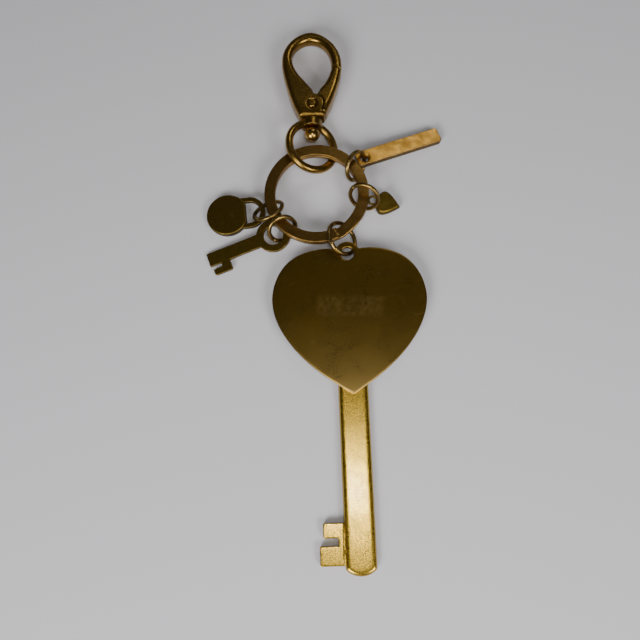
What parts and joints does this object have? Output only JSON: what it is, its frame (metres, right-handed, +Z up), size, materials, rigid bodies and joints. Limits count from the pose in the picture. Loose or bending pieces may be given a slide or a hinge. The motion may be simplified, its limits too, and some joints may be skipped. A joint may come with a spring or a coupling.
{
  "type": "key pendant keyring",
  "caption": "Antique brass keyring: a large heart-headed key hangs from a split ring with a swivel clasp and small padlock, key, heart and bar charms.",
  "frame": {"origin": "on the table the piece lies on, under the centre of the whole object's bounding box", "axes": "+Y along the object from the large key's end to the clasp, +X to the right seen from above, +Z up off the table"},
  "size_m": [0.0689, 0.1564, 0.0089],
  "materials": {
    "heart_face": "antique, dark, lightly scratched",
    "satin_gold": "satin, fine grain, worn bright",
    "ring_brass": "antique, polished",
    "jump_brass": "antique, dark, polished highlights",
    "clasp_brass": "antique, glossy cast",
    "charm_brass": "antique, dark, worn edges",
    "copper_gold": "satin, copper tinted",
    "spring_steel": "drawn wire"
  },
  "bodies": {
    "key": {"heart_plate": "heart_face", "key_shank": "satin_gold", "key_bit": "satin_gold"},
    "heart_ring": {"heart_key_jump_ring": "jump_brass"},
    "ring": {"split_ring": "ring_brass"},
    "eye": {"swivel_eye": "clasp_brass"},
    "hook": {"hook_body": "clasp_brass", "swivel_pin": "clasp_brass", "gate_rivet": "clasp_brass", "gate_spring": "spring_steel"},
    "gate_arm": {"gate": "clasp_brass"},
    "bar_ring": {"bar_jump_ring": "jump_brass"},
    "bar": {"bar_charm": "copper_gold"},
    "heart_charm_ring": {"small_heart_jump_ring": "jump_brass"},
    "heart_charm": {"small_heart": "charm_brass", "small_heart_loop": "charm_brass"},
    "padlock_ring": {"padlock_jump_ring": "jump_brass"},
    "padlock": {"padlock_body": "charm_brass", "padlock_shackle": "charm_brass"},
    "small_key_ring": {"small_key_jump_ring": "jump_brass"},
    "small_key_charm": {"small_key": "charm_brass"}
  },
  "joints": [
    {"name": "heart_ring_turn", "type": "hinge", "parent": "key", "child": "heart_ring", "pos_m": [0.00621, 0.00762, 0.0032], "axis": [0, 0, 1], "range_deg": [-10, 8]},
    {"name": "ring_lift", "type": "hinge", "parent": "heart_ring", "child": "ring", "pos_m": [0.00385, 0.01364, 0.0042], "axis": [0.8832, 0.4691, 0], "range_deg": [0, 10]},
    {"name": "eye_slide_round_ring", "type": "hinge", "parent": "ring", "child": "eye", "pos_m": [-0.00246, 0.02552, 0.0042], "axis": [0, 0, 1], "range_deg": [-12, 12]},
    {"name": "clasp_swivel", "type": "hinge", "parent": "eye", "child": "hook", "pos_m": [-0.00386, 0.04802, 0.00425], "axis": [0, 1, 0], "continuous": true},
    {"name": "gate_hinge", "type": "hinge", "parent": "hook", "child": "gate_arm", "pos_m": [-0.00381, 0.05302, 0.00425], "axis": [0, 0, 1], "range_deg": [0, 20], "stiffness_Nm_per_rad": 0.02, "springref_deg": -17.19, "deforming": ["gate_spring"]},
    {"name": "bar_ring_slide", "type": "hinge", "parent": "ring", "child": "bar_ring", "pos_m": [-0.00246, 0.02552, 0.0042], "axis": [0, 0, 1], "range_deg": [-8, 8]},
    {"name": "heart_charm_ring_slide", "type": "hinge", "parent": "ring", "child": "heart_charm_ring", "pos_m": [-0.00246, 0.02552, 0.0042], "axis": [0, 0, 1], "range_deg": [-8, 8]},
    {"name": "padlock_ring_slide", "type": "hinge", "parent": "ring", "child": "padlock_ring", "pos_m": [-0.00246, 0.02552, 0.0042], "axis": [0, 0, 1], "range_deg": [-14, 0]},
    {"name": "small_key_ring_slide", "type": "hinge", "parent": "ring", "child": "small_key_ring", "pos_m": [-0.00246, 0.02552, 0.0042], "axis": [0, 0, 1], "range_deg": [0, 10]},
    {"name": "bar_swing", "type": "hinge", "parent": "bar_ring", "child": "bar", "pos_m": [0.01146, 0.03688, 0.003], "axis": [0.0534, 0.0759, 0.9957], "range_deg": [-15, 15]},
    {"name": "heart_charm_swing", "type": "hinge", "parent": "heart_charm_ring", "child": "heart_charm", "pos_m": [0.01383, 0.02442, 0.002], "axis": [0.1065, -0.0265, 0.994], "range_deg": [0, 20]},
    {"name": "padlock_swing", "type": "hinge", "parent": "padlock_ring", "child": "padlock", "pos_m": [-0.02196, 0.02077, 0.00195], "axis": [-0.0694, -0.007, 0.9976], "range_deg": [-18, 18]},
    {"name": "small_key_swing", "type": "hinge", "parent": "small_key_ring", "child": "small_key_charm", "pos_m": [-0.01491, 0.01377, 0.00195], "axis": [-0.0651, -0.025, 0.9976], "range_deg": [-10, 8]}
  ]
}
